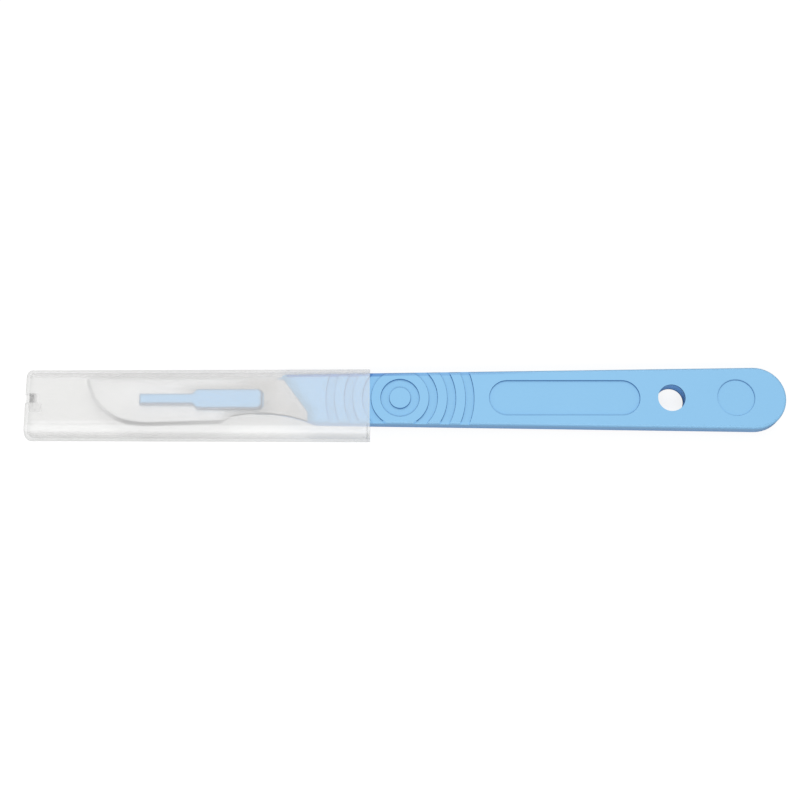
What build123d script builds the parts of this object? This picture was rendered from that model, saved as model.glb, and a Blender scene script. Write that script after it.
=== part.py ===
from build123d import *
from math import asin, atan2, cos, degrees, hypot, radians, sin, sqrt, tan
import os

# A disposable scalpel in its blade guard, in millimetres. It lies flat: X runs from the tip of the blade to
# the round tail of the handle, Y runs across it towards the back of the blade, and Z is up from the table.
# While the pieces are drawn, the grip rings are centred on X = 0, Y = 0 and the table is at Z = 0.

# Handle, a flat moulding that widens towards its tail.
handle_thickness = 3.9
front_half_width = 5.4
tail_radius = 6.92
tail_center_x = 77.7

# Grip rings, a raised disc and then grooves and flats in turn, the same on both faces. The rims of the
# handle are rounded a little deeper than the grooves, so that the outer grooves run out in the rounding.
groove_count = 4
disc_radius = 2.3
groove_width = 2.0
groove_pitch = 4.0
groove_depth = 0.45
groove_run_out = 0.1

# Panel, hanging hole and round mark behind the grip.
panel_start_x = 19.5
panel_end_x = 52.6
panel_width = 8.0
panel_depth = 0.4
hole_center_x = 59.5
hole_radius = 3.0
mark_center_x = 73.6
mark_radius = 4.1
mark_depth = 0.2

# Slope of the walls of everything that is sunk into the faces of the handle.
draft_angle = 14.0

# Blade, ground from sheet steel. The cutting edge is round at the belly and nearly straight behind it.
blade_thickness = 0.4
blade_back_y = 4.6
tip_x = -69.15
belly_front_x = -65.4
belly_front_y = -2.55
belly_end_x = -58.9
belly_end_y = -5.7
belly_low_x = -54.7
belly_low_y = -5.98
edge_end_x = -39.4
edge_end_y = -5.42

# Bevels that meet in the cutting edge, widest at the belly.
edge_land = 0.04
bevel_at_tip = 0.8
bevel_at_belly = 1.05
bevel_at_end = 0.95

# Hollow below the blade's shank, and the slanted heel that meets the handle.
notch_radius = 29.0
notch_top_x = -30.6
notch_top_y = -3.07
notch_front_x = -37.2
heel_top_x = -25.7
heel_x = -20.3
heel_corner_y = -2.8

# Boss that the slot of the blade drops over: a narrow neck under a wider head, and a broad rear part.
boss_front_x = -57.2
boss_step_x = -45.6
boss_rear_x = -30.3
boss_neck_width = 1.5
boss_head_width = 2.35
boss_rear_width = 4.4
boss_rear_bevel = 0.7
boss_height = 1.5
boss_edge_round = 0.75

# Tongue that backs the blade, the root that carries it, and the sloping shoulder of the grip.
tongue_thickness = 1.35
tongue_margin = 0.4
root_front_x = -32.0
root_setback = 0.25
shoulder_slope_width = 1.3
shoulder_round = 2.0

# Blade guard, a sleeve closed at the tip end and a little wider at its mouth. Its mouth grips the handle
# over a short length behind the heel of the blade.
guard_wall = 0.8
guard_grip_length = 13.7
guard_widening = 0.47
guard_corner_radius = 2.5
guard_inner_radius = 0.9
guard_end_round = 1.1
guard_inner_end_round = 0.6
vent_length = 1.15
vent_depth = 1.9
vent_width = 2.0
vent_offset_y = 0.95
rib_width = 0.3
rib_height = 0.3
rib_length = 21.1
rib_offset_y = -3.0

# Gaps between the pieces, and the room that the guard leaves round the handle and past the tip.
slot_gap = 0.05
slot_end_gap = 0.3
shoulder_gap = 0.05
head_gap = 0.03
guard_face_gap = 0.35
guard_back_gap = 0.25
guard_edge_gap = 2.85
guard_tip_gap = 12.0

# Heights and places that follow from the sizes above.
handle_edge_round = groove_depth + groove_run_out
guard_height = handle_thickness + 2 * (guard_face_gap + guard_wall)
middle_z = guard_height / 2
handle_bottom_z = middle_z - handle_thickness / 2
handle_top_z = middle_z + handle_thickness / 2
blade_bottom_z = middle_z - blade_thickness / 2
blade_top_z = middle_z + blade_thickness / 2
tongue_bottom_z = blade_bottom_z - tongue_thickness
boss_top_z = blade_top_z + boss_height
tail_end_x = tail_center_x + tail_radius
notch_center = (notch_top_x, notch_top_y - notch_radius)
guard_inside_x = tip_x - guard_tip_gap
guard_closed_x = guard_inside_x - guard_wall
guard_mouth_x = heel_x + guard_grip_length
grip_length = tail_center_x - heel_top_x
side_angle = asin(tail_radius / hypot(grip_length, front_half_width)) - atan2(front_half_width, grip_length)
gripped_half_width = front_half_width + (guard_mouth_x - heel_top_x) * tan(side_angle)
guard_top_y = gripped_half_width + guard_back_gap + guard_wall
guard_low_y = -gripped_half_width - guard_edge_gap - guard_wall
guard_mouth_width = guard_top_y - guard_low_y
guard_center_y = (guard_top_y + guard_low_y) / 2

# A length well past every outline, for the cutters.
beyond = 20.0


def slab(outline, bottom_z, top_z, draft=0.0):
    """A flat outline raised from one height to another, with sloping walls if it has a draft."""
    return extrude(Pos(0, 0, bottom_z) * outline, top_z - bottom_z, dir=(0, 0, 1), taper=draft)


def recess(outline, depth):
    """A cutter that sinks an outline into the top face of the handle, narrower at its floor."""
    top = Pos(0, 0, handle_top_z) * outline
    return extrude(top, depth, dir=(0, 0, -1), taper=draft_angle)


def on_both_faces(cutter):
    """A cutter for the top face, and its mirror image for the underside."""
    return cutter + mirror(cutter, Plane.XY.offset(middle_z))


def notch_disc(inset):
    """The round hollow below the shank of the blade, or one that reaches further into it."""
    return Pos(*notch_center) * Circle(notch_radius + inset)


def in_front_of_shoulder():
    """The area of the blade seat: it ends in the slant and the short upright of the heel."""
    slant = Vector(heel_x - heel_top_x, heel_corner_y - blade_back_y).normalized()
    gap = Vector(-slant.Y, slant.X) * shoulder_gap
    above = Vector(heel_top_x, blade_back_y) + gap - slant * beyond
    wall_x = heel_x + shoulder_gap
    corner = above + slant * ((wall_x - above.X) / slant.X)
    front_x = boss_front_x - beyond
    return make_face(
        Polyline(
            (front_x, above.Y),
            (above.X, above.Y),
            (corner.X, corner.Y),
            (wall_x, -beyond),
            (front_x, -beyond),
            close=True,
        )
    )


def grip_outline():
    """Plan of the grip: two long sides that run smoothly into the round tail."""
    side_end_x = tail_center_x - tail_radius * sin(side_angle)
    side_end_y = tail_radius * cos(side_angle)
    side = Line((heel_top_x, front_half_width), (side_end_x, side_end_y))
    tail = ThreePointArc((side_end_x, side_end_y), (tail_end_x, 0), (side_end_x, -side_end_y))
    front = Line((heel_top_x, -front_half_width), (heel_top_x, front_half_width))
    return make_face([side, tail, mirror(side, Plane.XZ), front])


def boss_outline(front_width, front_x):
    """Plan of the boss: a narrow front of the width given, a slanted step and the broad rear part."""
    half_front = front_width / 2
    half_rear = boss_rear_width / 2
    step_end_x = boss_step_x + half_rear - half_front
    bevel_x = boss_rear_x - boss_rear_bevel
    upper = [
        (front_x, half_front),
        (boss_step_x, half_front),
        (step_end_x, half_rear),
        (bevel_x, half_rear),
        (boss_rear_x, half_rear - boss_rear_bevel),
    ]
    lower = [(x, -y) for x, y in reversed(upper)]
    return make_face(Polyline(*upper, *lower, close=True))


def neck_outline():
    """Plan of the part of the boss that stands in the slot."""
    overhang = (boss_head_width - boss_neck_width) / 2
    return boss_outline(boss_neck_width, boss_front_x + overhang)


def root_outline():
    """Plan of the root: it narrows from the front of the grip to the tongue."""
    half_tongue = boss_rear_width / 2 + tongue_margin
    return make_face(
        Polyline(
            (heel_top_x, front_half_width),
            (root_front_x, half_tongue),
            (root_front_x, -front_half_width),
            (heel_top_x, -front_half_width),
            close=True,
        )
    )


def grip_rings():
    """Grooves round the raised disc, with sloping walls, for both faces."""
    wall_run = groove_depth * tan(radians(draft_angle))
    rings = []
    for number in range(groove_count):
        inner = disc_radius + number * groove_pitch
        outer = inner + groove_width
        section = Polyline(
            (inner, handle_top_z),
            (outer, handle_top_z),
            (outer - wall_run, handle_top_z - groove_depth),
            (inner + wall_run, handle_top_z - groove_depth),
            close=True,
        )
        rings.append(revolve(Plane.XZ * make_face(section), Axis.Z))
    return on_both_faces(Part() + rings)


def panel_and_mark():
    """The long panel on both faces and the shallow round mark on the top one."""
    panel_x = (panel_start_x + panel_end_x) / 2
    panel = Pos(panel_x, 0) * SlotOverall(panel_end_x - panel_start_x, panel_width)
    mark = Pos(mark_center_x, 0) * Circle(mark_radius)
    return on_both_faces(recess(panel, panel_depth)) + recess(mark, mark_depth)


def blade_seat():
    """A cutter for the flat under the blade, the slope of the shoulder and its rounded crest."""
    area = in_front_of_shoulder()
    upright = slab(area, blade_bottom_z, blade_top_z)
    slope = degrees(atan2(shoulder_slope_width, handle_top_z - blade_top_z))
    above_grip = Pos(0, 0, handle_top_z + beyond / 2) * Box(8 * beyond, 4 * beyond, beyond)
    sloping = slab(area, blade_top_z, handle_top_z, -slope) + above_grip
    crest = sloping.edges().filter_by_position(Axis.Z, handle_top_z, handle_top_z)
    crest = crest.filter_by_position(Axis.X, heel_top_x - beyond, heel_x + beyond)
    crest = crest.filter_by_position(Axis.Y, -beyond, beyond)
    return upright + fillet(crest, shoulder_round)


def tongue_and_boss():
    """The tongue below the blade, with the neck and the rounded head of the boss on it."""
    outline = boss_outline(boss_head_width, boss_front_x)
    shank = Pos((boss_rear_x + heel_top_x) / 2, 0) * Rectangle(
        heel_top_x - boss_rear_x + 2 * boss_rear_bevel, boss_rear_width
    )
    tongue = slab(offset(outline, tongue_margin) + shank, tongue_bottom_z, blade_bottom_z)
    neck = slab(neck_outline(), (tongue_bottom_z + blade_bottom_z) / 2, boss_top_z)
    head = slab(outline, blade_top_z + head_gap, boss_top_z)
    whole = tongue + neck + head
    return fillet(whole.faces().sort_by(Axis.Z)[-1].edges(), boss_edge_round)


def long_rim(face):
    """The edges of a face of the grip that run along its sides and round its tail."""
    return face.edges().filter_by(lambda edge: edge.center().X > 0)


def handle():
    """The blue moulding: grip, shoulder, root, tongue and boss in one piece."""
    plan = grip_outline() + root_outline() - notch_disc(root_setback)
    body = slab(plan, handle_bottom_z, handle_top_z)
    body = fillet(long_rim(body.faces().sort_by(Axis.Z)[-1]), handle_edge_round)
    body = fillet(long_rim(body.faces().sort_by(Axis.Z)[0]), handle_edge_round)
    body -= blade_seat()
    hole = Pos(hole_center_x, 0, middle_z) * Cylinder(hole_radius, 2 * handle_thickness)
    return body + tongue_and_boss() - grip_rings() - panel_and_mark() - hole


def cutting_edge(at_tip, at_belly, at_end):
    """The line of the cutting edge, or one that lies inside it by the widths given."""
    belly = ThreePointArc((tip_x, blade_back_y), (belly_front_x, belly_front_y), (belly_end_x, belly_end_y))
    center = belly.arc_center

    def inside(x, y, width):
        point = Vector(x, y)
        return point + (center - point).normalized() * width

    tip = inside(tip_x, blade_back_y, at_tip)
    front = inside(belly_front_x, belly_front_y, (at_tip + at_belly) / 2)
    end = inside(belly_end_x, belly_end_y, at_belly)
    low = Vector(belly_low_x, belly_low_y + at_belly)
    heel = Vector(edge_end_x, edge_end_y + at_end)
    run_out = low + (heel - low) * 1.5
    first = ThreePointArc(tip, front, end)
    second = TangentArc(end, low, tangent=first % 1)
    return [first, second, Line(low, run_out)], tip, run_out


def ground_sheet():
    """A sheet as thick as the blade, with its two bevels ground along the cutting edge."""
    def outline(height, *widths):
        edges, tip, run_out = cutting_edge(*widths)
        rest = Polyline(
            run_out,
            (run_out.X, -beyond),
            (heel_x + beyond, -beyond),
            (heel_x + beyond, beyond),
            (tip.X, beyond),
            tip,
        )
        return Pos(0, 0, height) * make_face(edges + [rest])

    half_land = edge_land / 2
    edge = outline(middle_z + half_land, 0, 0, 0)
    grind_line = outline(blade_top_z, bevel_at_tip, bevel_at_belly, bevel_at_end)
    bevel = loft([edge, grind_line], ruled=True)
    land = extrude(edge, half_land, dir=(0, 0, -1))
    return on_both_faces(bevel + land)


def blade():
    """The steel blade: ground sheet cut to its back, heel and notch, with the slot for the boss."""
    front_x = tip_x - 1
    low_y = belly_low_y - 1
    notch_front_y = notch_center[1] + sqrt(notch_radius**2 - (notch_front_x - notch_top_x) ** 2)
    rise = (notch_front_y - edge_end_y) / (notch_front_x - edge_end_x)
    below_edge_x = edge_end_x - (edge_end_y - low_y) / rise
    plan = make_face(
        Polyline(
            (notch_front_x, blade_back_y),
            (heel_top_x, blade_back_y),
            (heel_x, heel_corner_y),
            (heel_x, low_y),
            (notch_front_x, low_y),
            close=True,
        )
    )
    plan -= notch_disc(0)
    plan += make_face(
        Polyline(
            (front_x, blade_back_y),
            (notch_front_x, blade_back_y),
            (notch_front_x, notch_front_y),
            (below_edge_x, low_y),
            (front_x, low_y),
            close=True,
        )
    )
    slot_outline = offset(neck_outline(), slot_gap)
    slot_outline += Pos(slot_end_gap, 0) * slot_outline
    slot = slab(slot_outline, blade_bottom_z - 1, blade_top_z + 1)
    return slab(plan, blade_bottom_z, blade_top_z) & ground_sheet() - slot


def guard_block(start_x, end_x, wall, corner_radius, end_round):
    """The guard as a full block, outside or inside its wall, with its long edges and closed end rounded."""
    def half_width(x):
        narrowing = guard_widening * (guard_mouth_x - x) / (guard_mouth_x - guard_closed_x)
        return (guard_mouth_width - narrowing) / 2 - wall

    plan = make_face(
        Polyline(
            (start_x, guard_center_y + half_width(start_x)),
            (end_x, guard_center_y + half_width(end_x)),
            (end_x, guard_center_y - half_width(end_x)),
            (start_x, guard_center_y - half_width(start_x)),
            close=True,
        )
    )
    block = slab(plan, wall, guard_height - wall)
    block = fillet(block.edges().group_by(SortBy.LENGTH)[-1], corner_radius)
    return fillet(block.faces().sort_by(Axis.X)[0].edges(), end_round)


def blade_guard():
    """The clear sleeve: a drafted shell with a vent in its closed end and a short rib on its floor."""
    outside = guard_block(guard_closed_x, guard_mouth_x, 0, guard_corner_radius, guard_end_round)
    past_mouth_x = guard_mouth_x + guard_wall
    hollow = guard_block(
        guard_inside_x, past_mouth_x, guard_wall, guard_inner_radius, guard_inner_end_round
    )
    vent_y = guard_center_y + vent_offset_y
    vent = Pos(guard_closed_x, vent_y, guard_height) * Box(
        2 * vent_length, vent_width, 2 * vent_depth
    )
    rib_y = guard_center_y + rib_offset_y
    rib = Pos(guard_inside_x + rib_length / 2, rib_y, guard_wall + rib_height / 2) * Box(
        rib_length, rib_width, rib_height
    )
    return outside - hollow - vent + rib


os.makedirs("parts", exist_ok=True)

# The finished pieces stand with the middle of their common box over the origin.
highest_y = max(tail_radius, guard_top_y)
placement = Pos(-(guard_closed_x + tail_end_x) / 2, -(guard_low_y + highest_y) / 2, 0)

pieces = {"handle": handle(), "blade": blade(), "blade_guard": blade_guard()}
for name, piece in pieces.items():
    placed = placement * piece
    export_step(placed, f"parts/{name}.step")
    print(name, "volume", round(placed.volume, 2), "solids", len(placed.solids()))
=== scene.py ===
# %% [markdown]
# A disposable scalpel in its blade guard, dressed in Blender.
#
# The shapes come from the CAD model: a blue moulded handle, a steel blade locked on it, and a clear guard
# that slides over the blade. They could be modelled again here with modifiers, but the CAD shapes are exact
# and already rounded, so this script keeps them and spends its effort on materials, light and the camera.
# Everything is in metres, with the table at Z = 0.

# %% Load the frame
import math
import bpy
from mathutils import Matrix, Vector

MM_IN_METRE = 1000.0

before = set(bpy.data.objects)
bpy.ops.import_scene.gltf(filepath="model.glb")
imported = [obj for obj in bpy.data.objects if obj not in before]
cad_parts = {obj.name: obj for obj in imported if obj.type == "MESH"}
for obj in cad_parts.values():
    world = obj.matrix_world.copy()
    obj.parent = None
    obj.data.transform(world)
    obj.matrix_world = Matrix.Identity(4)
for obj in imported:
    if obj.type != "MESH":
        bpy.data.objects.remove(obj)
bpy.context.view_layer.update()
print("pieces:", sorted(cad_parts))

# %% [markdown]
# The camera looks along the +Y axis and steeply down, as a photographer leans over a table, at the middle
# of the handle's grip rings. Its field of view could come from a longer lens further off. This distance is
# used because the near and far sides of the guard then narrow by the same amount as in the photograph.

# %% Camera
MM = 0.001
RINGS_MM = (-1.335, 1.206, 3.1)
PHOTO_WIDTH = 800
PIXELS_PER_RADIAN = 1618.2
ELEVATION = math.radians(75)
DISTANCE = 356 * MM

aim = [side * MM for side in RINGS_MM]
camera_data = bpy.data.cameras.new("table_camera")
camera_data.sensor_width = 36
camera_data.lens = camera_data.sensor_width * PIXELS_PER_RADIAN / PHOTO_WIDTH
camera_data.clip_start = 0.01
camera_data.clip_end = 20
camera = bpy.data.objects.new("table_camera", camera_data)
camera.location = (
    aim[0],
    aim[1] - DISTANCE * math.cos(ELEVATION),
    aim[2] + DISTANCE * math.sin(ELEVATION),
)
camera.rotation_euler = (math.pi / 2 - ELEVATION, 0, 0)
bpy.context.scene.collection.objects.link(camera)
bpy.context.scene.camera = camera
print("lens", round(camera_data.lens, 2), "mm")

# %% [markdown]
# Blender draws a material as a graph of nodes. The graph could be drawn by hand in the editor, but a script
# can repeat it exactly. These helpers keep the graphs short: one adds a node and sets its values, one mixes
# two colours, one makes a group with named sockets, and one places the group in a material. So an effect
# that several materials share is drawn once and given its own numbers in each.

# %% Helpers for nodes and groups
NUMBER, VECTOR = "NodeSocketFloat", "NodeSocketVector"


def add_node(tree, kind, values=None, **settings):
    """A node of one kind, with settings on the node, and a value or a link on each input socket named."""
    node = tree.nodes.new(kind)
    for name, value in settings.items():
        setattr(node, name, value)
    for name, value in (values or {}).items():
        if isinstance(value, bpy.types.NodeSocket):
            tree.links.new(value, node.inputs[name])
        else:
            node.inputs[name].default_value = value
    return node


def blend_colours(tree, factor, first, second):
    """Two colours mixed by a factor. A mix node keeps its sockets for colours at places 6, 7 and 2."""
    values = {0: factor, 6: first, 7: second}
    return add_node(tree, "ShaderNodeMix", values, data_type="RGBA").outputs[2]


def new_group(name, inputs, outputs):
    """An empty node group with named sockets, and its two end nodes."""
    group = bpy.data.node_groups.new(name, "ShaderNodeTree")
    for label, (kind, value) in inputs.items():
        group.interface.new_socket(label, in_out="INPUT", socket_type=kind).default_value = value
    for label, kind in outputs.items():
        group.interface.new_socket(label, in_out="OUTPUT", socket_type=kind)
    return group, group.nodes.new("NodeGroupInput"), group.nodes.new("NodeGroupOutput")


def use_group(tree, group, **values):
    """A group placed in a material, with values for its inputs. Underscores stand for spaces."""
    named = {name.replace("_", " "): value for name, value in values.items()}
    return add_node(tree, "ShaderNodeGroup", named, node_tree=group)


print("node helpers ready")

# %% [markdown]
# Most of a material's graph here is masks. A mask is a number for each point of the surface, from 0 to 1,
# that says how much of a shade the point gets. It could be painted, but a mask that is worked out from
# sizes stays sharp in the closest view. These helpers let that working read as plain arithmetic.

# %% Helpers for numbers and masks
def math_node(tree, operation, first, second=0.0, clamp=False):
    """One operation on two numbers or sockets, and its result."""
    values = {0: first, 1: second}
    return add_node(tree, "ShaderNodeMath", values, operation=operation, use_clamp=clamp).outputs[0]


def times(tree, *factors):
    """Numbers multiplied, such as a mask and whatever limits it."""
    product = factors[0]
    for factor in factors[1:]:
        product = math_node(tree, "MULTIPLY", product, factor)
    return product


def plus(tree, first, second):
    """Two numbers added."""
    return math_node(tree, "ADD", first, second)


def minus(tree, first, second):
    """The first number less the second."""
    return math_node(tree, "SUBTRACT", first, second)


def sum_of(tree, start, *parts):
    """A starting number plus each part times its weight."""
    total = start
    for part, weight in parts:
        total = plus(tree, total, times(tree, part, weight))
    return total


def size_of(tree, value):
    """A number without its sign."""
    return math_node(tree, "ABSOLUTE", value)


def above(tree, value, limit):
    """1 where a number is above a limit, and 0 elsewhere."""
    return math_node(tree, "GREATER_THAN", value, limit)


def below(tree, value, limit):
    """1 where a number is below a limit, and 0 elsewhere."""
    return math_node(tree, "LESS_THAN", value, limit)


def ramp(tree, value, zero_at, one_at):
    """0 on one side of two values, 1 on the other, and an even change between them."""
    values = {"Value": value, "From Min": zero_at, "From Max": one_at}
    return add_node(tree, "ShaderNodeMapRange", values).outputs["Result"]


def band(tree, value, rise, fall):
    """1 between two ramps, each given as its own pair of values."""
    return times(tree, ramp(tree, value, *rise), ramp(tree, value, *fall))


def close_to(tree, value, center, ends):
    """1 close to a value and 0 further off, where ends are the distances at which it is 0 and 1."""
    return ramp(tree, size_of(tree, minus(tree, value, center)), *ends)


def distance_from(tree, x, y, center):
    """How far a point lies from a centre, as seen from above."""
    along = math_node(tree, "POWER", minus(tree, x, center[0]), 2.0)
    across = math_node(tree, "POWER", minus(tree, y, center[1]), 2.0)
    return math_node(tree, "SQRT", plus(tree, along, across))


def tint(tree, colour, mask, shade, amount=1.0):
    """A colour that goes over to a shade by an amount, where the mask is 1."""
    return blend_colours(tree, times(tree, mask, amount), colour, shade)


print("mask helpers ready")

# %% [markdown]
# Every piece here has a surface that is never quite even. The steel and plastic come from tools with a
# grain, and faint clouds of gloss come with handling. The grain could be a picture, but noise in object
# coordinates needs no unwrapping and keeps its size in millimetres on every piece.

# %% Group: fine grain
CLOUDS_IN_METRE = 90.0

grain_group, grain_in, grain_out = new_group(
    "fine_grain",
    {
        "Size mm": (NUMBER, 0.2),
        "Stretch": (VECTOR, (1.0, 1.0, 1.0)),
        "Detail": (NUMBER, 3.0),
        "Contrast": (NUMBER, 1.0),
    },
    {"Height": NUMBER, "Cloud": NUMBER},
)
place = add_node(grain_group, "ShaderNodeTexCoord").outputs["Object"]
grains_in_metre = math_node(grain_group, "DIVIDE", MM_IN_METRE, grain_in.outputs["Size mm"])
stretched = add_node(
    grain_group, "ShaderNodeVectorMath", {0: place, 1: grain_in.outputs["Stretch"]}, operation="MULTIPLY"
)
fine = add_node(
    grain_group, "ShaderNodeTexNoise",
    {"Vector": stretched.outputs[0], "Scale": grains_in_metre, "Detail": grain_in.outputs["Detail"]},
)
centred = minus(grain_group, fine.outputs["Fac"], 0.5)
scaled = times(grain_group, centred, grain_in.outputs["Contrast"])
height = math_node(grain_group, "ADD", scaled, 0.5, clamp=True)
cloud = add_node(
    grain_group, "ShaderNodeTexNoise", {"Vector": place, "Scale": CLOUDS_IN_METRE, "Detail": 2.0}
)
grain_group.links.new(height, grain_out.inputs["Height"])
grain_group.links.new(cloud.outputs["Fac"], grain_out.inputs["Cloud"])
print("fine_grain:", [socket.name for socket in grain_group.interface.items_tree])

# %% [markdown]
# A moulded piece shows where its mould was split: a hair line runs round the side walls at half height. It
# could be modelled, but it is only a few hundredths of a millimetre high, so a narrow band of height in the
# material gives the same line.

# %% Group: parting line of the mould
MIDDLE_MM = RINGS_MM[2]

seam_group, seam_in, seam_out = new_group(
    "parting_line",
    {"Height mm": (NUMBER, MIDDLE_MM), "Width mm": (NUMBER, 0.08)},
    {"Line": NUMBER},
)
place = add_node(seam_group, "ShaderNodeTexCoord").outputs["Object"]
level = add_node(seam_group, "ShaderNodeSeparateXYZ", {0: place}).outputs["Z"]
level_mm = times(seam_group, level, MM_IN_METRE)
away = size_of(seam_group, minus(seam_group, level_mm, seam_in.outputs["Height mm"]))
share = math_node(seam_group, "DIVIDE", away, seam_in.outputs["Width mm"])
on_line = math_node(seam_group, "SUBTRACT", 1.0, share, clamp=True)
seam_group.links.new(on_line, seam_out.inputs["Line"])
print("parting_line:", [socket.name for socket in seam_group.interface.items_tree])

# %% [markdown]
# Plastic and steel both pick up hair scratches from trays and packing. Real ones could be drawn one by one,
# but long thin noise, cut off so that only its peaks are left, gives many at once, and each material asks
# for as many as its surface would keep. Two layers of it run in two directions, a little off the length of
# the piece.

# %% Group: hair scratches
SCRATCH_TURNS = (0.18, -0.42)
SCRATCH_STRETCH = 0.03
PEAK_START = 0.80
PEAK_REACH = 0.15
PEAK_SHARPNESS = 18.0

scratch_group, scratch_in, scratch_out = new_group(
    "hair_scratches",
    {"Amount": (NUMBER, 0.3), "Across mm": (NUMBER, 0.12)},
    {"Scratches": NUMBER},
)
place = add_node(scratch_group, "ShaderNodeTexCoord").outputs["Object"]
across = math_node(scratch_group, "DIVIDE", MM_IN_METRE, scratch_in.outputs["Across mm"])
limit = minus(scratch_group, PEAK_START, times(scratch_group, scratch_in.outputs["Amount"], PEAK_REACH))
layers = []
for turn in SCRATCH_TURNS:
    turned = add_node(
        scratch_group, "ShaderNodeMapping",
        {"Vector": place, "Rotation": (0.0, 0.0, turn), "Scale": (SCRATCH_STRETCH, 1.0, 1.0)},
    )
    noise = add_node(
        scratch_group, "ShaderNodeTexNoise", {"Vector": turned.outputs[0], "Scale": across, "Detail": 1.0}
    )
    peak = minus(scratch_group, noise.outputs["Fac"], limit)
    layers.append(math_node(scratch_group, "MULTIPLY", peak, PEAK_SHARPNESS, clamp=True))
found = math_node(scratch_group, "MAXIMUM", *layers)
scratch_group.links.new(found, scratch_out.inputs["Scratches"])
print("hair_scratches:", [socket.name for socket in scratch_group.interface.items_tree])

# %% [markdown]
# On all three pieces, what a point looks like follows from where it lies and which way it faces. Both could
# be marked on the mesh by hand, face by face. The materials measure them instead, so no unwrapping or
# painting is needed. The last two helpers here start a material and give it its fine relief.

# %% Measures on a piece
def place_in_mm(tree):
    """The point's place in millimetres, as X, Y and Z, counted from the centre of the grip rings."""
    place = add_node(tree, "ShaderNodeTexCoord")
    scaled = add_node(
        tree, "ShaderNodeMapping",
        {
            "Vector": place.outputs["Object"],
            "Location": [-side for side in RINGS_MM],
            "Scale": (MM_IN_METRE, MM_IN_METRE, MM_IN_METRE),
        },
    )
    parts = add_node(tree, "ShaderNodeSeparateXYZ", {0: scaled.outputs[0]})
    return parts.outputs["X"], parts.outputs["Y"], parts.outputs["Z"]


def facing(tree, kind="Normal"):
    """The direction that the surface faces, as its parts X, Y and Z. A True Normal ignores smooth shading."""
    geometry = add_node(tree, "ShaderNodeNewGeometry")
    return add_node(tree, "ShaderNodeSeparateXYZ", {0: geometry.outputs[kind]}).outputs


def facing_up(tree):
    """How far the surface faces straight up or down, from 0 on a wall to 1 on a face."""
    return size_of(tree, facing(tree)["Z"])


def new_material(name):
    """An empty material, its graph and its main shader."""
    material = bpy.data.materials.new(name)
    material.use_nodes = True
    return material, material.node_tree, material.node_tree.nodes["Principled BSDF"]


def set_relief(tree, shader, height, strength, depth_mm):
    """Fine relief on the surface, from a height and how deep it goes."""
    values = {"Strength": strength, "Distance": depth_mm * MM, "Height": height}
    tree.links.new(add_node(tree, "ShaderNodeBump", values).outputs[0], shader.inputs["Normal"])


print("places are counted from", RINGS_MM, "mm")

# %% [markdown]
# The handle is one moulding in light blue plastic. The sunk rings, the panel and the round mark have sharp
# corners where light hardly gets in, and painted shade makes them dark lines, least of all where the wall
# faces the back of the blade. The rim at the front of the grip gets a deeper blue painted shade on the side
# of the blade's back. Such lines could be cut into the mesh, but they are shades and not shapes, so each is
# painted by a mask.

# %% Corners and rim of the handle
GRIP_FRONT_MM = -25.7
GRIP_HALF_WIDTH_MM = 5.4
GRIP_TAPER = 0.01475
GRIP_RIM_MM = 0.58


def past_rim(tree, x, y):
    """How far a point lies outside the flat width of the grip, in millimetres; negative inside it."""
    widening = times(tree, minus(tree, x, GRIP_FRONT_MM), GRIP_TAPER)
    side = plus(tree, widening, GRIP_HALF_WIDTH_MM - GRIP_RIM_MM)
    return minus(tree, size_of(tree, y), side)


SUNK_DEPTH_MM = 0.48
SUNK_RANGE_MM = (-17.0, 78.0)
LIT_TILT = (0.2, 0.8)
LIT_SHARE = 0.7


def painted_corner_shade(tree, x, wall, depth, outside):
    """Painted shade on the walls of the rings, the panel and the round mark."""
    lit = ramp(tree, facing(tree)["Y"], *LIT_TILT)
    return times(
        tree,
        wall,
        below(tree, depth, SUNK_DEPTH_MM),
        below(tree, outside, 0.0),
        below(tree, x, SUNK_RANGE_MM[1]),
        above(tree, x, SUNK_RANGE_MM[0]),
        sum_of(tree, 1.0, (lit, -LIT_SHARE)),
    )


RIM_EDGE_MM = (-0.30, -0.05)
RIM_FADE_MM = (32.0, 18.0)
RIM_LEVEL_MM = (1.25, 1.45)
RIM_DEEPER_MM = (6.0, -12.0)
RIM_LEAST = 0.3
RIM_FRONT_MM = -26.0


def front_rim_shade(tree, x, y, z, outside):
    """Painted shade on the corner of the rim at the front of the grip, on the side of the blade's back."""
    return times(
        tree,
        ramp(tree, outside, *RIM_EDGE_MM),
        above(tree, y, 0.0),
        ramp(tree, x, *RIM_FADE_MM),
        ramp(tree, size_of(tree, z), *RIM_LEVEL_MM),
        sum_of(tree, RIM_LEAST, (ramp(tree, x, *RIM_DEEPER_MM), 1.0 - RIM_LEAST)),
        above(tree, x, RIM_FRONT_MM),
    )


print("front of the grip", 2 * GRIP_HALF_WIDTH_MM, "mm wide")

# %% [markdown]
# Near its tail the handle has a shallow round mark, and on its underside the mould's two push pins leave
# faint rings. The mark's corner could be left to the light, but it is too shallow to catch much shade, so a
# mask paints shade into it on the side where the photograph has it dark. All three are circles, and the
# distance from a centre finds them.

# %% Round mark and push pins
MARK_CENTER_MM = (73.6, 0.0)
MARK_RADIUS_MM = 4.1
MARK_LINE_MM = (0.20, 0.06)
MARK_SIDE_MM = (-2.0, 3.0)
MARK_LEVEL_MM = 1.7


def mark_corner_shade(tree, x, y, z):
    """Painted shade in the round mark's corner, deep towards the blade's back and lost on the other side."""
    far = distance_from(tree, x, y, MARK_CENTER_MM)
    line = close_to(tree, far, MARK_RADIUS_MM, MARK_LINE_MM)
    return times(tree, line, ramp(tree, y, *MARK_SIDE_MM), above(tree, z, MARK_LEVEL_MM))


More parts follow.
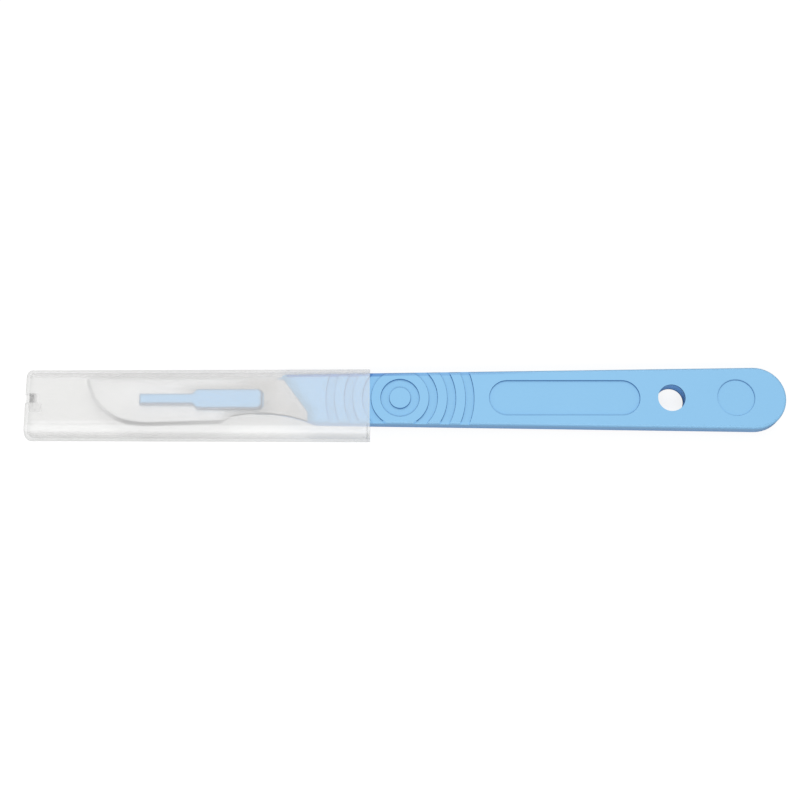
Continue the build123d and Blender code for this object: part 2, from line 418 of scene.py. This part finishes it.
PIN_CENTERS_MM = ((66.6, 0.0), (76.2, 0.0))
PIN_RADIUS_MM = 1.5
PIN_LINE_MM = (0.07, 0.0)
PIN_LEVEL_MM = -1.9


def pin_marks(tree, x, y, z):
    """The round prints of the mould's two push pins on the underside, as a thin ring each."""
    rings = [
        close_to(tree, distance_from(tree, x, y, center), PIN_RADIUS_MM, PIN_LINE_MM)
        for center in PIN_CENTERS_MM
    ]
    return times(tree, math_node(tree, "MAXIMUM", *rings), below(tree, z, PIN_LEVEL_MM))


print("round mark", 2 * MARK_RADIUS_MM, "mm across, push pins", 2 * PIN_RADIUS_MM, "mm")

# %% [markdown]
# The mould's faces were left with a fine spark texture, which scatters light and looks pale, and its walls
# were polished, so they look deeper in colour. On the outside the walls get painted light, lighter towards
# the top as if lit from above. The walls of the boss get painted shade, since they stand in the slot of the
# blade, where little light gets. One blue with more or less gloss could do for all, but the blues differ in
# the photograph, so each place has its own. The floors of the sunk places are a little duller than the
# faces.

# %% Material: blue handle plastic
FACE_BLUE = (0.234, 0.502, 0.768, 1)
FACE_BLUE_LIGHT = (0.252, 0.525, 0.792, 1)
WALL_BLUE = (0.220, 0.500, 0.920, 1)
OUTER_WALL_SHADED = (0.262, 0.500, 0.930, 1)
OUTER_WALL_LIT = (0.325, 0.635, 0.990, 1)
CORNER_SHADE_BLUE = (0.055, 0.170, 0.380, 1)
RIM_SHADE_BLUE = (0.070, 0.210, 0.520, 1)
BOSS_SHADE_BLUE = (0.070, 0.120, 0.230, 1)
SCRATCH_BLUE = (0.55, 0.75, 0.92, 1)
SEAM_BLUE = (0.42, 0.68, 0.92, 1)
WALL_TILT = (0.60, 0.25)
OUTER_WALL_MM = (-0.2, 0.2)
OUTER_WALL_RISE_MM = (-1.5, 1.0)
ROOT_MM = -26.2
BOSS_WALL_TILT = (0.86, 0.45)
HALF_THICKNESS_MM = 1.95
SUNK_FLOOR_MM = (0.12, 0.18)


def place_blues(tree, colour, x, y, z, wall, depth):
    """The face's colour, wall blue, painted light on outer walls, painted shade at corners, rim and boss."""
    outside = past_rim(tree, x, y)
    outer_wall = times(tree, wall, ramp(tree, outside, *OUTER_WALL_MM))
    outer_wall_painted_light = blend_colours(tree, ramp(tree, z, *OUTER_WALL_RISE_MM), OUTER_WALL_SHADED, OUTER_WALL_LIT)
    boss_wall_shade = times(tree, ramp(tree, facing_up(tree), *BOSS_WALL_TILT), below(tree, x, ROOT_MM))
    colour = tint(tree, colour, wall, WALL_BLUE, amount=0.9)
    # Painted light: the outer walls lighter towards the top.
    colour = tint(tree, colour, outer_wall, outer_wall_painted_light)
    # Painted shade in the corners of the sunk rings, the panel and the mark.
    colour = tint(tree, colour, painted_corner_shade(tree, x, wall, depth, outside), CORNER_SHADE_BLUE)
    # Painted shade in the corner of the round mark.
    colour = tint(tree, colour, mark_corner_shade(tree, x, y, z), CORNER_SHADE_BLUE, amount=0.45)
    # Painted shade along the front rim, on the side of the blade's back.
    colour = tint(tree, colour, front_rim_shade(tree, x, y, z, outside), RIM_SHADE_BLUE)
    # Painted shade on the walls of the boss, down in the blade's slot.
    return tint(tree, colour, boss_wall_shade, BOSS_SHADE_BLUE)


def handle_material():
    """Light blue moulded plastic: textured pale faces, deeper walls, painted shade in corners, a parting
    line.
    """
    material, tree, shader = new_material("handle_plastic")
    x, y, z = place_in_mm(tree)
    grain = use_group(tree, grain_group, Size_mm=0.11, Detail=5.0, Contrast=1.5).outputs
    seam = use_group(tree, seam_group, Height_mm=MIDDLE_MM, Width_mm=0.06).outputs["Line"]
    scratches = use_group(tree, scratch_group, Amount=0.35, Across_mm=0.16).outputs[0]
    wall = ramp(tree, facing_up(tree), *WALL_TILT)
    depth = minus(tree, HALF_THICKNESS_MM, size_of(tree, z))
    floor = times(tree, ramp(tree, depth, *SUNK_FLOOR_MM), minus(tree, 1.0, wall))
    seam_line = times(tree, seam, wall)

    colour = blend_colours(tree, grain["Cloud"], FACE_BLUE, FACE_BLUE_LIGHT)
    colour = place_blues(tree, colour, x, y, z, wall, depth)
    colour = tint(tree, colour, scratches, SCRATCH_BLUE, amount=0.10)
    colour = tint(tree, colour, seam_line, SEAM_BLUE, amount=0.3)
    tree.links.new(colour, shader.inputs["Base Color"])

    rough = sum_of(tree, 0.40, (grain["Cloud"], 0.10), (wall, -0.16), (floor, 0.10))
    tree.links.new(rough, shader.inputs["Roughness"])

    texture = times(tree, grain["Height"], sum_of(tree, 1.0, (wall, -0.75)))
    pins = pin_marks(tree, x, y, z)
    relief = sum_of(tree, texture, (seam_line, 3.0), (pins, -2.5), (scratches, -0.5))
    set_relief(tree, shader, relief, strength=0.5, depth_mm=0.01)
    shader.inputs["IOR"].default_value = 1.46
    return material


handle_plastic = handle_material()
print("handle_plastic nodes:", len(handle_plastic.node_tree.nodes))

# %% [markdown]
# The blade is cut from rolled strip and polished bright. In the photograph the steel is greyer beside the
# rear of the boss, above it and towards the heel, where the handle is close to it. Reflections could give
# that, but here they give only a part, so three soft masks add the rest as painted shade. A thin dark line
# runs along the rim of the notch.

# %% Boss, heel and notch on the blade
NOTCH_CENTER_MM = (-30.6, -32.07)
NOTCH_RADIUS_MM = 29.0
NOTCH_FRONT_MM = -37.2
NOTCH_LINE_MM = (0.20, 0.10)


def notch_rim(tree, x, y):
    """A thin dark line along the punched rim of the notch."""
    off = minus(tree, distance_from(tree, x, y, NOTCH_CENTER_MM), NOTCH_RADIUS_MM)
    return times(tree, ramp(tree, off, *NOTCH_LINE_MM), above(tree, x, NOTCH_FRONT_MM))


BESIDE_BOSS_MM = ((-40.5, -35.0), (-26.5, -30.5))


def beside_boss(tree, x, y):
    """The flat beside the rear of the boss, on the side of the cutting edge."""
    return times(tree, band(tree, x, *BESIDE_BOSS_MM), below(tree, y, 0.0))


ABOVE_BOSS_MM = ((-50.0, -44.0), (-26.5, -32.0))
ABOVE_BOSS_SIDE_MM = (4.4, 2.2)


def above_boss(tree, x, y):
    """The flat along the rear of the boss, on the side of the blade's back."""
    side = times(tree, ramp(tree, y, *ABOVE_BOSS_SIDE_MM), above(tree, y, 0.0))
    return times(tree, band(tree, x, *ABOVE_BOSS_MM), side)


print("notch radius", NOTCH_RADIUS_MM, "mm")

# %% [markdown]
# The flats keep fine lines along the strip. The two bevels are ground across the edge. Where a bevel faces
# the belly it gets painted reflection, dark at first and lighter towards the edge. The height of a point
# between the flats tells how near it is to the edge, so the material needs no second mesh for the bevel.

# %% Material: ground blade steel
BLADE_HALF_MM = 0.2
EDGE_HALF_MM = 0.02
FLAT_LINE_DARK = (0.845, 0.845, 0.85, 1)
FLAT_LINE_BRIGHT = (0.905, 0.905, 0.91, 1)
FLAT_CLOUD = (0.72, 0.72, 0.72, 1)
HEEL_SHADE_GREY = (0.60, 0.585, 0.58, 1)
BESIDE_BOSS_SHADE_GREY = (0.38, 0.38, 0.385, 1)
ABOVE_BOSS_SHADE_GREY = (0.42, 0.405, 0.385, 1)
NOTCH_GREY = (0.12, 0.12, 0.12, 1)
FRONT_BEVEL_START = (0.81, 0.81, 0.82, 1)
FRONT_BEVEL_EDGE = (0.76, 0.76, 0.77, 1)
BELLY_REFLECTION_START = (0.02, 0.02, 0.022, 1)
BELLY_REFLECTION_EDGE = (0.30, 0.30, 0.31, 1)
BELLY_REFLECTION_REAR = (0.50, 0.50, 0.51, 1)
BELLY_REFLECTION_TIP = (0.74, 0.74, 0.75, 1)
GROUND_GREY = (0.5, 0.5, 0.5, 1)
CUT_SIDE_SHADE = (0.06, 0.06, 0.065, 1)
BEVEL_SHARE = (0.04, 0.28)
BELLY_TILT = (0.115, 0.165)
BELLY_REAR_MM = (-54.0, -39.0)
TIP_MM = (-60.5, -65.5)
CUT_TILT = 0.5
HEEL_FADE_MM = (-41.0, -30.0)


def flat_colour(tree, x, y, rolled):
    """Bright lines along the strip, and painted shade that greys it near the boss and the heel."""
    colour = blend_colours(tree, rolled["Height"], FLAT_LINE_DARK, FLAT_LINE_BRIGHT)
    colour = tint(tree, colour, rolled["Cloud"], FLAT_CLOUD, amount=0.2)
    # Painted shade towards the heel, beside the boss and above it.
    colour = tint(tree, colour, ramp(tree, x, *HEEL_FADE_MM), HEEL_SHADE_GREY)
    colour = tint(tree, colour, beside_boss(tree, x, y), BESIDE_BOSS_SHADE_GREY, amount=0.85)
    colour = tint(tree, colour, above_boss(tree, x, y), ABOVE_BOSS_SHADE_GREY, amount=0.75)
    return tint(tree, colour, notch_rim(tree, x, y), NOTCH_GREY)


def bevel_colour(tree, x, towards_edge, ground):
    """Painted reflection: bright in front, dark under the belly, less so towards the notch and tip."""
    front = blend_colours(tree, towards_edge, FRONT_BEVEL_START, FRONT_BEVEL_EDGE)
    # Painted reflection on the bevel under the belly: dark, lighter towards the edge, notch and tip.
    belly = blend_colours(tree, towards_edge, BELLY_REFLECTION_START, BELLY_REFLECTION_EDGE)
    belly = tint(tree, belly, ramp(tree, x, *BELLY_REAR_MM), BELLY_REFLECTION_REAR, amount=0.6)
    belly = tint(tree, belly, ramp(tree, x, *TIP_MM), BELLY_REFLECTION_TIP)
    towards_belly = times(tree, facing(tree, "True Normal")["Y"], -1.0)
    colour = blend_colours(tree, ramp(tree, towards_belly, *BELLY_TILT), front, belly)
    return tint(tree, colour, ground["Height"], GROUND_GREY, amount=0.15)


def blade_material():
    """Polished steel, fine lines along it, painted reflection on bevels, painted shade on cut sides."""
    material, tree, shader = new_material("blade_steel")
    x, y, z = place_in_mm(tree)
    rolled = use_group(
        tree, grain_group, Size_mm=0.05, Stretch=(0.02, 1.0, 1.0), Detail=3.0, Contrast=1.6
    ).outputs
    ground = use_group(
        tree, grain_group, Size_mm=0.06, Stretch=(1.0, 0.06, 0.06), Detail=3.0, Contrast=1.8
    ).outputs
    scratches = use_group(tree, scratch_group, Amount=0.55, Across_mm=0.07).outputs[0]
    below_flat = minus(tree, BLADE_HALF_MM, size_of(tree, z))
    towards_edge = ramp(tree, below_flat, 0.0, BLADE_HALF_MM - EDGE_HALF_MM)
    bevel = ramp(tree, towards_edge, *BEVEL_SHARE)
    cut = below(tree, size_of(tree, facing(tree, "True Normal")["Z"]), CUT_TILT)

    on_flat = flat_colour(tree, x, y, rolled)
    on_bevel = bevel_colour(tree, x, towards_edge, ground)
    # Painted shade on the cut sides of the blade.
    colour = tint(tree, blend_colours(tree, bevel, on_flat, on_bevel), cut, CUT_SIDE_SHADE)
    tree.links.new(colour, shader.inputs["Base Color"])

    rough = sum_of(tree, 0.18, (rolled["Cloud"], 0.10), (bevel, 0.05), (scratches, 0.08))
    tree.links.new(rough, shader.inputs["Roughness"])

    along = times(tree, rolled["Height"], minus(tree, 1.0, bevel))
    relief = sum_of(tree, along, (ground["Height"], bevel), (scratches, -1.0))
    set_relief(tree, shader, relief, strength=0.25, depth_mm=0.004)
    shader.inputs["Metallic"].default_value = 1.0
    return material


blade_steel = blade_material()
print("blade_steel nodes:", len(blade_steel.node_tree.nodes))

# %% [markdown]
# The guard is one thin clear sleeve, and its painted shades come from how much plastic one looks through.
# Down a long side wall there is more of it, so a band of painted shade runs along each side, with a painted
# highlight stripe beside it on the side of the cutting edge. True glass could give some of this by bending
# light, but it needs far more light paths, and the milky wall hides most of the bending.

# %% Side walls of the guard
GUARD_FRONT_MM = -81.95
GUARD_LENGTH_MM = 75.35
GUARD_MOUTH_HALF_MM = 8.03
GUARD_WIDENING_MM = 0.47


def guard_half_width(tree, x):
    """Half the width of the guard, which widens evenly from its closed end to its mouth."""
    growth = GUARD_WIDENING_MM / 2 / GUARD_LENGTH_MM
    widening = times(tree, minus(tree, x, GUARD_FRONT_MM), growth)
    return plus(tree, widening, GUARD_MOUTH_HALF_MM - GUARD_WIDENING_MM / 2)


GUARD_CENTER_MM = -1.3
GUARD_WALL_MM = 0.8
UPPER_CORNER_MM = 1.45
SIDE_SOFTNESS_MM = (0.1, -0.1)


def side_wall_shade(tree, x, y, z):
    """Painted shade down a long side wall, and from above through the corner inside it too."""
    aside = size_of(tree, minus(tree, y, GUARD_CENTER_MM))
    inward = minus(tree, guard_half_width(tree, x), aside)
    width = sum_of(tree, GUARD_WALL_MM, (above(tree, z, 0.0), UPPER_CORNER_MM))
    return ramp(tree, minus(tree, inward, width), *SIDE_SOFTNESS_MM)


HIGHLIGHT_STRIPE_MM = ((1.0, 1.6), (3.0, 2.5))


def highlight_stripe(tree, x, y, z):
    """Painted highlight: the lighter stripe beside the long side wall, on the side of the cutting edge."""
    inward = plus(tree, minus(tree, y, GUARD_CENTER_MM), guard_half_width(tree, x))
    return times(tree, band(tree, inward, *HIGHLIGHT_STRIPE_MM), above(tree, z, 0.0))


print("guard", GUARD_LENGTH_MM, "mm long and", 2 * GUARD_MOUTH_HALF_MM, "mm wide at its mouth")

# %% [markdown]
# Four small places stand out on the guard: the edge of its mouth and the step behind its vent as dark
# lines of painted shade, a patch beside the vent as a faint grey, and the short rib on its floor as a light
# line of painted highlight. The mouth, the vent and the rib are there in the CAD shape, and a mask on each
# paints the shade, and on the rib the highlight, that clear plastic gets by bending light there. The patch
# could be a shape too, but no height shows, so it is a mask alone.

# %% Small marks on the guard
MOUTH_MM = -7.15
MOUTH_LINE_MM = (0.26, 0.10)
MOUTH_SIDE_MM = (-6.0, -6.6)


def mouth_edge(tree, x, y):
    """Painted shade where one sees the mouth's edge through the wall, on the side of the cutting edge."""
    return times(tree, close_to(tree, x, MOUTH_MM, MOUTH_LINE_MM), ramp(tree, y, *MOUTH_SIDE_MM))


UPPER_LEVEL_MM = 2.0
VENT_STEP_MM = -80.92
VENT_CENTER_MM = -0.35
VENT_FADE_MM = (1.9, 0.75)
VENT_SIDE_MM = (1.12, 0.98)


def vent_shade(tree, x, y, z):
    """Painted shade: a dark bar just behind the vent, in the thick step at its inner end."""
    behind = minus(tree, x, VENT_STEP_MM)
    return times(
        tree,
        above(tree, behind, 0.0),
        ramp(tree, behind, *VENT_FADE_MM),
        close_to(tree, y, VENT_CENTER_MM, VENT_SIDE_MM),
        above(tree, z, UPPER_LEVEL_MM),
    )


PATCH_CENTER_MM = -2.45
PATCH_SIDE_MM = (1.2, 0.7)
PATCH_LENGTH_MM = ((-77.9, -78.5), (-81.0, -80.4))


def grey_patch(tree, x, y, z):
    """A faint grey patch beside the vent."""
    across = close_to(tree, y, PATCH_CENTER_MM, PATCH_SIDE_MM)
    return times(tree, across, band(tree, x, *PATCH_LENGTH_MM), above(tree, z, UPPER_LEVEL_MM))


RIB_END_MM = -60.05
RIB_CENTER_MM = -4.3
RIB_HALF_WIDTH_MM = 0.26
RIB_LEVEL_MM = -1.85


def rib_highlight(tree, x, y, z):
    """Painted highlight on the top of the rib on the floor of the guard."""
    off = size_of(tree, minus(tree, y, RIB_CENTER_MM))
    raised = below(tree, z, RIB_LEVEL_MM)
    return times(tree, below(tree, off, RIB_HALF_WIDTH_MM), raised, below(tree, x, RIB_END_MM))


print("vent at", VENT_STEP_MM, "mm and rib up to", RIB_END_MM, "mm along X")

# %% [markdown]
# The guard is clear polypropylene, a little milky, with walls thin enough to see the blade through. Glass
# with refraction could be used, but a milky wall scatters light more than it bends it. So each face of the
# wall covers a part of what lies behind it, by the Alpha of the shader, and two walls add up as they do in
# the hand. The underside is a little greyer near the closed end, and the side walls get painted light.

# %% Material: milky guard plastic
MILK = (0.785, 0.785, 0.775, 1)
MILK_LIGHT = (0.810, 0.810, 0.800, 1)
GUARD_SCRATCH_WHITE = (0.92, 0.92, 0.92, 1)
SIDE_SHADE_GREY = (0.50, 0.50, 0.50, 1)
SIDE_WALL_PAINTED_LIGHT = (0.95, 0.95, 0.945, 1)
CLOSED_END_GREY = (0.50, 0.50, 0.49, 1)
STRIPE_HIGHLIGHT_WHITE = (0.98, 0.98, 0.975, 1)
PATCH_GREY = (0.45, 0.45, 0.45, 1)
MOUTH_SHADE_GREY = (0.35, 0.35, 0.345, 1)
RIB_HIGHLIGHT_WHITE = (1.0, 1.0, 1.0, 1)
VENT_SHADE_BLACK = (0.03, 0.03, 0.03, 1)
GUARD_WALL_TILT = (0.9, 0.3)
SIDE_FADE_MM = (-60.0, -10.0)
SIDE_AMOUNT = 0.28
SIDE_AMOUNT_LOST = 0.18
CLOSED_END_MM = (-60.0, -68.0)


def guard_colour(tree, x, y, z, wall, grain, scratches):
    """The milky colour, and over it painted shade, painted light and highlights, and a faint grey patch."""
    side_amount = sum_of(tree, SIDE_AMOUNT, (ramp(tree, x, *SIDE_FADE_MM), -SIDE_AMOUNT_LOST))
    underside = times(tree, below(tree, z, 0.0), minus(tree, 1.0, wall))
    closed_end = times(tree, underside, ramp(tree, x, *CLOSED_END_MM))
    colour = blend_colours(tree, grain["Cloud"], MILK, MILK_LIGHT)
    colour = tint(tree, colour, scratches, GUARD_SCRATCH_WHITE, amount=0.12)
    # Painted shade down the long side walls.
    colour = tint(tree, colour, side_wall_shade(tree, x, y, z), SIDE_SHADE_GREY, amount=side_amount)
    # Painted light on the walls.
    colour = tint(tree, colour, wall, SIDE_WALL_PAINTED_LIGHT, amount=0.5)
    colour = tint(tree, colour, closed_end, CLOSED_END_GREY, amount=0.38)
    # Painted highlight along the rounding on the side of the cutting edge.
    colour = tint(tree, colour, highlight_stripe(tree, x, y, z), STRIPE_HIGHLIGHT_WHITE, amount=0.9)
    colour = tint(tree, colour, grey_patch(tree, x, y, z), PATCH_GREY, amount=0.35)
    # Painted shade at the mouth's edge.
    colour = tint(tree, colour, mouth_edge(tree, x, y), MOUTH_SHADE_GREY, amount=0.5)
    # Painted highlight on the rib.
    colour = tint(tree, colour, rib_highlight(tree, x, y, z), RIB_HIGHLIGHT_WHITE)
    # Painted shade just behind the vent.
    return tint(tree, colour, vent_shade(tree, x, y, z), VENT_SHADE_BLACK, amount=0.85)


def guard_material():
    """Milky clear plastic that covers part of what is behind each of its faces."""
    material, tree, shader = new_material("guard_plastic")
    x, y, z = place_in_mm(tree)
    grain = use_group(
        tree, grain_group, Size_mm=0.35, Stretch=(0.4, 1.0, 1.0), Detail=3.0, Contrast=1.0
    ).outputs
    seam = use_group(tree, seam_group, Height_mm=MIDDLE_MM, Width_mm=0.05).outputs["Line"]
    scratches = use_group(tree, scratch_group, Amount=0.7, Across_mm=0.14).outputs[0]
    wall = ramp(tree, facing_up(tree), *GUARD_WALL_TILT)
    colour = guard_colour(tree, x, y, z, wall, grain, scratches)
    tree.links.new(colour, shader.inputs["Base Color"])

    rough = sum_of(tree, 0.14, (grain["Cloud"], 0.12), (scratches, 0.15))
    tree.links.new(rough, shader.inputs["Roughness"])

    seam_line = times(tree, seam, wall)
    relief = sum_of(tree, grain["Height"], (seam_line, 2.0), (scratches, -0.6))
    set_relief(tree, shader, relief, strength=0.12, depth_mm=0.01)
    shader.inputs["Alpha"].default_value = 0.31
    shader.inputs["Specular IOR Level"].default_value = 0.3
    shader.inputs["IOR"].default_value = 1.49
    return material


guard_plastic = guard_material()
print("guard_plastic nodes:", len(guard_plastic.node_tree.nodes))

# %% [markdown]
# Each CAD piece takes its finish in the slot that it already has. The photograph shows no shadow under the
# clear guard. With Alpha alone it would throw a grey one, so its shadow is switched off.

# %% Put the finishes on the pieces
FINISHES = {"handle": handle_plastic, "blade": blade_steel, "blade_guard": guard_plastic}
for name, finish in FINISHES.items():
    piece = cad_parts[name]
    for slot in piece.material_slots:
        slot.material = finish
    print(name, "has", finish.name, "on", len(piece.data.polygons), "faces")
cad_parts["blade_guard"].visible_shadow = False

# %% [markdown]
# The table is a plain white sheet. It could be lit until it is white, but then the object would be far too
# bright. So it is a grey that keeps the soft shadow, and light of its own, seen by the camera alone, lifts
# it to the white of the photograph. Further off, where the lamps reach less, that light is a little
# stronger.

# %% Table
TABLE_HALF = 3.0
TABLE_DROP_MM = 0.02
TABLE_LIGHT = 0.84
TABLE_LIGHT_FURTHER = 0.08
TABLE_FURTHER = (0.25, 0.60)

corners = [(x * TABLE_HALF, y * TABLE_HALF, 0) for x, y in ((-1, -1), (1, -1), (1, 1), (-1, 1))]
table_mesh = bpy.data.meshes.new("table")
table_mesh.from_pydata(corners, [], [(0, 1, 2, 3)])
table = bpy.data.objects.new("table", table_mesh)
table.location.z = -TABLE_DROP_MM * MM
bpy.context.scene.collection.objects.link(table)

table_white, tree, sheet = new_material("table_white")
sheet.inputs["Base Color"].default_value = (0.22, 0.22, 0.22, 1)
sheet.inputs["Roughness"].default_value = 0.8
sheet.inputs["Specular IOR Level"].default_value = 0.0
sheet.inputs["Emission Color"].default_value = (1, 1, 1, 1)
path = add_node(tree, "ShaderNodeLightPath")
place = add_node(tree, "ShaderNodeTexCoord")
reach = add_node(tree, "ShaderNodeVectorMath", {0: place.outputs["Object"]}, operation="LENGTH")
further = ramp(tree, reach.outputs["Value"], *TABLE_FURTHER)
lift = sum_of(tree, TABLE_LIGHT, (further, TABLE_LIGHT_FURTHER))
tree.links.new(times(tree, path.outputs["Is Camera Ray"], lift), sheet.inputs["Emission Strength"])
table_mesh.materials.append(table_white)
print("table", 2 * TABLE_HALF, "m wide")

# %% [markdown]
# Two square lamps hang above the table and point at the object, as softboxes do: one behind it, and a
# stronger one on the camera's side. The world round them is a weak even light for the shadows, and plain
# white for what the steel and plastic mirror. White cards could stand round the table for that, but they
# would show in other views.

# %% Light
WORLD_FILL = 0.51


def soft_lamp(name, place, size, power):
    """A square area lamp that points at the middle of the object."""
    data = bpy.data.lights.new(name, "AREA")
    data.shape = "SQUARE"
    data.size = size
    data.energy = power
    lamp = bpy.data.objects.new(name, data)
    lamp.location = place
    lamp.rotation_euler = Vector(place).to_track_quat("Z", "Y").to_euler()
    bpy.context.scene.collection.objects.link(lamp)
    return lamp


lamps = [
    soft_lamp("softbox_back", place=(0, 0.55, 0.75), size=0.45, power=2.75),
    soft_lamp("softbox_front", place=(0, -0.60, 0.72), size=0.40, power=3.75),
]

world = bpy.data.worlds.new("studio")
world.use_nodes = True
tree = world.node_tree
sky = tree.nodes["Background"]
path = add_node(tree, "ShaderNodeLightPath")
seen = math_node(tree, "MAXIMUM", path.outputs["Is Camera Ray"], path.outputs["Is Glossy Ray"])
seen = math_node(tree, "MAXIMUM", seen, path.outputs["Is Transmission Ray"])
tree.links.new(sum_of(tree, WORLD_FILL, (seen, 1.0 - WORLD_FILL)), sky.inputs["Strength"])
sky.inputs["Color"].default_value = (1, 1, 1, 1)
bpy.context.scene.world = world
bpy.context.scene.view_settings.view_transform = "Standard"
print("lamps:", [lamp.name for lamp in lamps])
